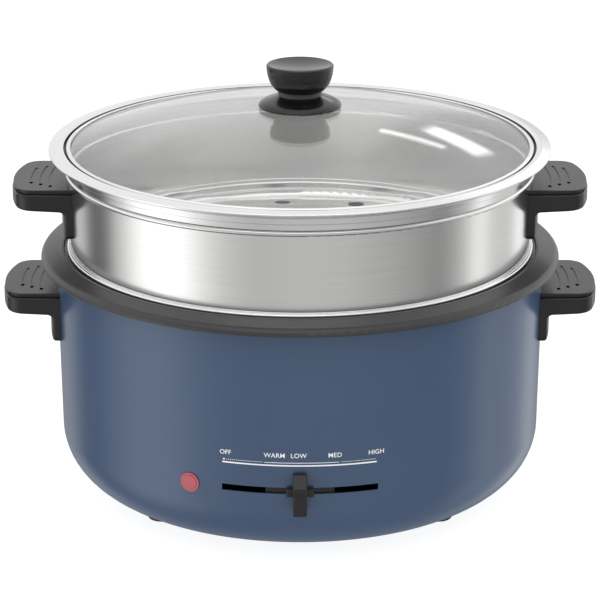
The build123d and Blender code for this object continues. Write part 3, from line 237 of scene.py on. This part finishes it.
def steel(name, color, roughness, lines, depth, anisotropic, groove_shade=None):
    """Steel spun about the pot's axis: fine lines run round it, and a narrow groove is painted dark as shade.
    """
    shader = Shader(name, color, roughness, Metallic=1.0, Anisotropic=anisotropic)
    radius, angle, height = shader.around_axis()
    swept = shader.node(
        "ShaderNodeCombineXYZ",
        X=shader.math("MULTIPLY", radius, lines),
        Y=shader.math("MULTIPLY", angle, GRAIN_TURN),
        Z=shader.math("MULTIPLY", height, lines),
    )
    grain = shader.noise(1.0, detail=4.0, roughness=0.7, vector=swept.outputs[0])
    cloud = shader.noise(9.0, detail=3.0)
    shade = shader.ramp(grain, [(0.25, scaled(color, 0.9)), (0.75, scaled(color, 1.04))])
    # painted shade: the groove's zone is made near-black, fading out just under its upper edge
    if groove_shade:
        inner, outer, bottom, top = groove_shade
        across = shader.math("COMPARE", radius, (inner + outer) / 2, (outer - inner) / 2)
        within = shader.math("MULTIPLY", across, shader.math("GREATER_THAN", height, bottom))
        painted_shade = shader.math("MULTIPLY", within, shader.remap(height, 1.0, 0.0, top - GROOVE_SHADE_FADE, top))
        shade = shader.mix("RGBA", painted_shade, shade, (*GROOVE_SHADE_COLOR, 1.0))
    tangent = shader.node("ShaderNodeTangent")
    tangent.direction_type = "RADIAL"
    tangent.axis = "Z"
    brushed = shader.remap(grain, roughness - 0.03, roughness + 0.03)
    shader.set(
        Base_Color=shade,
        Roughness=shader.math("ADD", brushed, shader.math("MULTIPLY", cloud, SMUDGE)),
        Tangent=tangent.outputs[0],
    )
    shader.bump(grain, depth, 0.6)


def plain_metal(name, color, roughness, grain_scale=300.0, depth=0.00003):
    """Plated, cast or machined metal with an even fine grain."""
    shader = Shader(name, color, roughness, Metallic=1.0)
    grain = shader.noise(grain_scale, detail=4.0, roughness=0.6)
    cloud = shader.noise(22.0)
    shader.set(
        Base_Color=shader.ramp(cloud, [(0.3, scaled(color, 0.86)), (0.7, color)]),
        Roughness=shader.remap(grain, roughness - 0.06, roughness + 0.08),
    )
    shader.bump(grain, depth)


def moulded(name, color, roughness, grain_scale, depth, **sockets):
    """Moulded plastic, rubber or ceramic with a fine spark-eroded skin."""
    shader = Shader(name, color, roughness, **sockets)
    grain = shader.noise(grain_scale, detail=3.0, roughness=0.6)
    cloud = shader.noise(30.0, detail=3.0)
    shader.set(
        Base_Color=shader.ramp(cloud, [(0.3, scaled(color, 0.85)), (0.7, scaled(color, 1.15))]),
        Roughness=shader.remap(cloud, roughness - 0.03, roughness + 0.04),
    )
    shader.bump(grain, depth)


def clear_glass(name):
    """Clear tempered glass."""
    shader = Shader(name, (0.985, 0.995, 0.99), 0.0, Transmission_Weight=1.0, IOR=1.5)
    shader.set(Roughness=shader.remap(shader.noise(5.0), 0.0, 0.012))


# ---------------------------------------------------------------- materials
# after the name: colour, roughness, scale and depth of the grain; the enamel has a dark and a light colour
enamel("housing_enamel", (0.034, 0.067, 0.134), (0.041, 0.081, 0.159))
moulded("nonstick", (0.030, 0.030, 0.031), 0.36, 1800.0, 0.00003, Coat_Weight=0.15, Coat_Roughness=0.35)
steel("steamer_steel", (0.90, 0.90, 0.89), 0.18, 5200.0, 0.000012, anisotropic=0.55)
# the lid ring's steel gets painted shade in its groove
steel("rim_steel", (0.90, 0.90, 0.895), 0.15, 4200.0, 0.000008, anisotropic=0.35, groove_shade=LID_GROOVE)
plain_metal("polished_steel", (0.78, 0.78, 0.77), 0.14, 800.0, 0.00001)
plain_metal("zinc_steel", (0.50, 0.51, 0.52), 0.36)
clear_glass("lid_glass")
moulded("black_phenolic", (0.012, 0.012, 0.0122), 0.30, 1300.0, 0.00003, Specular_IOR_Level=0.45)
moulded("knob_gloss", (0.009, 0.009, 0.0092), 0.17, 1300.0, 0.00001, Specular_IOR_Level=0.5)
moulded("black_rubber", (0.014, 0.014, 0.0145), 0.6, 700.0, 0.00006)
moulded("grey_silicone", (0.07, 0.07, 0.072), 0.45, 900.0, 0.00003)
moulded("red_lens", (0.46, 0.075, 0.09), 0.28, 400.0, 0.00002, Coat_Weight=0.6, Coat_Roughness=0.1)
plain_metal("cast_aluminium", (0.62, 0.62, 0.63), 0.45, 160.0, 0.0001)
plain_metal("brass", (0.70, 0.52, 0.25), 0.28)
plain_metal("nickel", (0.66, 0.64, 0.60), 0.25)
moulded("ivory_ceramic", (0.66, 0.62, 0.52), 0.62, 260.0, 0.00005)
moulded("wire_sleeve", (0.52, 0.50, 0.45), 0.55, 700.0, 0.00003)
moulded("print_white", (0.93, 0.95, 1.0), 0.5, 1500.0, 0.000004)

# nodes whose finish differs from the others in their slot
DRESS = {"lid_ring": "rim_steel", "knob_skirt": "knob_gloss", "knob_grip": "knob_gloss"}

slot_of = {entry["node"]: entry["material_slot"] for entry in frame["record"]["subparts"]}
for name, node in frame["nodes"].items():
    material = MATERIALS[DRESS.get(name, slot_of[name])]
    for material_slot in node.material_slots:
        material_slot.link = "OBJECT"
        material_slot.material = material
    if not node.material_slots:
        node.data.materials.append(material)


# ---------------------------------------------------------------- new pieces
def piece(name, builder, material, body, smooth):
    """Makes a mesh piece from a bmesh, dresses it and lets it ride on a body."""
    bmesh.ops.recalc_face_normals(builder, faces=builder.faces)
    mesh = bpy.data.meshes.new(name)
    builder.normal_update()
    builder.to_mesh(mesh)
    builder.free()
    mesh.materials.append(MATERIALS[material])
    made = bpy.data.objects.new(name, mesh)
    bpy.context.scene.collection.objects.link(made)
    if smooth:
        for face in mesh.polygons:
            face.use_smooth = True
    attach(made, body)


def print_piece(name, builder):
    """Makes a printed piece that stays on the housing."""
    piece(name, builder, "print_white", "base", smooth=False)


def join_rings(builder, near, far):
    """Faces between two rings of as many vertices."""
    for corner in range(len(near)):
        following = (corner + 1) % len(near)
        builder.faces.new((near[corner], near[following], far[following], far[corner]))


# ---------------------------------------------------------------- printed scale
# angles in degrees to the right of the front, heights in mm above the housing's bottom, other sizes in mm
PRINT_THICKNESS = 0.04
BAND_STEP = 0.5  # most degrees from one section of a band to the next
SCALE_LINE = (-17.35, 17.1, 61.2 - 0.42, 61.2 + 0.42)  # start, end, lower edge, upper edge
INNER_LINE = (-7.8, 8.6, 62.75, 63.1)
DOTTED_LINES = ((-16.4, -8.2), (9.1, 17.0))
DOTTED_EDGES = (62.85, 63.2)
DOT_STEP = 0.44  # degrees
DOT_SHARE = 0.5  # printed part of each step
END_DOT = (-16.95, 63.0, 0.55)  # angle, height, radius
END_DOT_SIDES = 24
LABELS = (("OFF", -16.6), ("WARM", -5.6), ("LOW", -0.3), ("MED", 7.7), ("HIGH", 17.0))
LABEL_HEIGHT = 67.5
CAP_HEIGHT = 2.75


def band(builder, start, end, low, high):
    """Thin printed band round the housing, between two angles and two heights."""
    count = max(1, math.ceil(abs(end - start) / BAND_STEP))
    section = ((low, 0.0), (high, 0.0), (high, PRINT_THICKNESS), (low, PRINT_THICKNESS))
    rings = []
    for index in range(count + 1):
        angle = start + (end - start) * index / count
        rings.append([builder.verts.new(on_housing(angle, height, out)) for height, out in section])
    for near, far in zip(rings, rings[1:]):
        join_rings(builder, near, far)
    builder.faces.new(rings[0][::-1])
    builder.faces.new(rings[-1])


def disc(builder, angle, height, radius):
    """Thin printed dot on the housing."""
    lower, upper = [], []
    for index in range(END_DOT_SIDES):
        turn = 2 * math.pi * index / END_DOT_SIDES
        across = math.degrees(radius * math.cos(turn) / housing_radius(height))
        spot = (angle + across, height + radius * math.sin(turn))
        lower.append(builder.verts.new(on_housing(*spot)))
        upper.append(builder.verts.new(on_housing(*spot, PRINT_THICKNESS)))
    builder.faces.new(lower)
    builder.faces.new(upper[::-1])
    join_rings(builder, upper, lower)


def label(word, angle):
    """A word printed on the housing, wrapped round it and centred at an angle."""
    name = "label_" + word.lower()
    curve = bpy.data.curves.new(name, "FONT")
    curve.body = word
    curve.align_x = "CENTER"
    curve.space_character = 1.02
    curve.offset = 0.006
    curve.extrude = 0.5
    curve.resolution_u = 4
    maker = bpy.data.objects.new("maker", curve)
    bpy.context.scene.collection.objects.link(maker)
    bpy.context.view_layer.update()
    evaluated = maker.evaluated_get(bpy.context.evaluated_depsgraph_get())
    mesh = bpy.data.meshes.new_from_object(evaluated)
    bpy.data.objects.remove(maker)
    builder = bmesh.new()
    builder.from_mesh(mesh)
    bpy.data.meshes.remove(mesh)
    bpy.data.curves.remove(curve)
    bmesh.ops.remove_doubles(builder, verts=builder.verts, dist=1e-5)
    size = CAP_HEIGHT / max(vert.co.y for vert in builder.verts)
    for vert in builder.verts:
        turn = angle + math.degrees(vert.co.x * size / housing_radius(LABEL_HEIGHT))
        height = LABEL_HEIGHT - CAP_HEIGHT / 2 + vert.co.y * size
        vert.co = on_housing(turn, height, PRINT_THICKNESS if vert.co.z > 0 else 0.0)
    print_piece(name, builder)


scale = bmesh.new()
band(scale, *SCALE_LINE)
band(scale, *INNER_LINE)
for start, end in DOTTED_LINES:
    for index in range(int((end - start) / DOT_STEP) + 1):
        left = start + index * DOT_STEP
        band(scale, left, left + DOT_SHARE * DOT_STEP, *DOTTED_EDGES)
disc(scale, *END_DOT)
print_piece("scale_print", scale)

for word, angle in LABELS:
    label(word, angle)

# ---------------------------------------------------------------- rolled hem of the lid's ring
HEM_RADIUS = GLASS_RADIUS - 2.3 * MM
HEM_SECTION = 0.75 * MM  # radius of its round section
HEM_TURNS = 180  # sections round the ring
HEM_SIDES = 12  # corners of each section
hem_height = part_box("lid_ring")[0][2] + HEM_SECTION

hem = bmesh.new()
hem_rings = []
for turn_index in range(HEM_TURNS):
    turn = 2 * math.pi * turn_index / HEM_TURNS
    ring = []
    for side_index in range(HEM_SIDES):
        side = 2 * math.pi * side_index / HEM_SIDES
        radius = HEM_RADIUS + HEM_SECTION * math.cos(side)
        height = hem_height + HEM_SECTION * math.sin(side)
        ring.append(hem.verts.new((radius * math.cos(turn), radius * math.sin(turn), height)))
    hem_rings.append(ring)
for near, far in zip(hem_rings, hem_rings[1:] + hem_rings[:1]):
    join_rings(hem, near, far)
piece("lid_hem", hem, "rim_steel", "lid", smooth=True)

# ---------------------------------------------------------------- studio
FLOOR_SIZE = 6.0
FLOOR_COLOR = (0.30, 0.30, 0.30)
FLOOR_GLOW = 0.89

# brightness of the room by the angle round the product, seen from the front (right is positive)
LOW_LIGHT = (
    (-180, 0.30),
    (-140, 0.80),
    (-122, 0.12),
    (-112, 0.12),
    (-98, 0.80),
    (-84, 1.50),
    (-70, 1.80),
    (-58, 1.55),
    (-48, 1.05),
    (-36, 0.74),
    (-22, 0.62),
    (0, 0.68),
    (20, 0.66),
    (40, 0.55),
    (58, 0.44),
    (72, 0.30),
    (84, 0.52),
    (98, 1.35),
    (110, 0.80),
    (124, 0.75),
    (140, 1.40),
    (160, 0.40),
    (180, 0.30),
)
HIGH_LIGHT = (
    (-180, 1.15),
    (-120, 1.15),
    (-80, 1.25),
    (-45, 0.80),
    (0, 0.60),
    (45, 0.65),
    (80, 1.15),
    (120, 1.45),
    (158, 1.35),
    (171, 0.80),
    (174, 1.15),
    (180, 1.15),
)
LIGHT_RANGE = 2.0  # a colour ramp holds 0 to 1, so the two tables' values go into it as shares of this
TOP_LIGHT = 1.40
UNDER_LIGHT = 0.35
STRIP_LIGHT = 2.6
KEY_LIGHT = 0.90

# sine of the elevation over which one level of the room fades into the next
UNDER_TO_LOW = (-0.9, -0.5)
LOW_TO_HIGH = (-0.22, 0.06)
HIGH_TO_TOP = (0.5, 0.95)

# softboxes: lower edge, upper edge, left edge, right edge, each from dark to bright. The sides are degrees
# and the heights are sines of the elevation, to which a strip adds its slope times the radians round the
# product, so that it slants
KEY_BOX = ((0.45, 0.6), (0.9, 0.8), (-60, -30), (50, 20))
STRIPS = (
    ((1.055, 1.060), (1.085, 1.080), (166.6, 167.3), (173.4, 173.0), 0.2177),
    ((2.285, 2.310), (2.375, 2.355), (163.4, 164.8), (171.0, 169.5), 0.6761),
)


def studio_floor():
    """Pale floor that lights itself; reflections pass it by and show the room below the horizon."""
    builder = bmesh.new()
    bmesh.ops.create_grid(builder, x_segments=1, y_segments=1, size=FLOOR_SIZE)
    mesh = bpy.data.meshes.new("floor")
    builder.to_mesh(mesh)
    builder.free()
    shader = Shader("floor", FLOOR_COLOR, 0.8, Specular_IOR_Level=0.0)
    shader.set(Emission_Color=(1.0, 1.0, 1.0, 1.0), Emission_Strength=FLOOR_GLOW)
    mesh.materials.append(shader.material)
    floor = bpy.data.objects.new("floor", mesh)
    bpy.context.scene.collection.objects.link(floor)
    floor.visible_glossy = False


def studio_world():
    """Pale room with soft bright and dim sides, as from large softboxes and flags round the product."""
    world = bpy.data.worlds.new("studio")
    world.use_nodes = True
    bpy.context.scene.world = world
    world.node_tree.nodes.clear()
    graph = Graph(world.node_tree)
    arithmetic = graph.math

    def smooth(source, low, high):
        return graph.remap(source, 0.0, 1.0, low, high, "SMOOTHSTEP")

    def around(source, table):
        stops = [(0.5 + angle / 360.0, (value / LIGHT_RANGE,) * 3) for angle, value in table]
        return arithmetic("MULTIPLY", graph.ramp(source, stops, "EASE"), LIGHT_RANGE)

    x, y, z = graph.split(graph.node("ShaderNodeTexCoord").outputs["Generated"])
    turn = arithmetic("ARCTAN2", x, arithmetic("MULTIPLY", y, -1.0))

    def softbox(light, lower, upper, left, right, slope=0.0):
        height = arithmetic("ADD", z, arithmetic("MULTIPLY", turn, slope)) if slope else z
        upright = arithmetic("MULTIPLY", smooth(height, *lower), smooth(height, *upper))
        edges = [smooth(turn, *(math.radians(angle) for angle in edge)) for edge in (left, right)]
        inside = arithmetic("MULTIPLY", upright, arithmetic("MULTIPLY", *edges))
        return arithmetic("MULTIPLY", inside, light)

    share = arithmetic("ADD", arithmetic("DIVIDE", turn, 2 * math.pi), 0.5)
    below = graph.mix("FLOAT", smooth(z, *UNDER_TO_LOW), UNDER_LIGHT, around(share, LOW_LIGHT))
    sides = graph.mix("FLOAT", smooth(z, *LOW_TO_HIGH), below, around(share, HIGH_LIGHT))
    room = graph.mix("FLOAT", smooth(z, *HIGH_TO_TOP), sides, TOP_LIGHT)
    boxes = softbox(KEY_LIGHT, *KEY_BOX)
    for strip in STRIPS:
        boxes = arithmetic("ADD", boxes, softbox(STRIP_LIGHT, *strip))

    lamp = graph.node("ShaderNodeBackground", Strength=arithmetic("ADD", room, boxes))
    backdrop = graph.node("ShaderNodeBackground", Color=(1.0, 1.0, 1.0, 1.0))
    seen_directly = graph.node("ShaderNodeLightPath").outputs["Is Camera Ray"]
    choose = graph.node("ShaderNodeMixShader")
    for socket, value in zip(choose.inputs, (seen_directly, lamp.outputs[0], backdrop.outputs[0])):
        graph.feed(socket, value)
    graph.node("ShaderNodeOutputWorld", Surface=choose.outputs[0])


studio_floor()
studio_world()
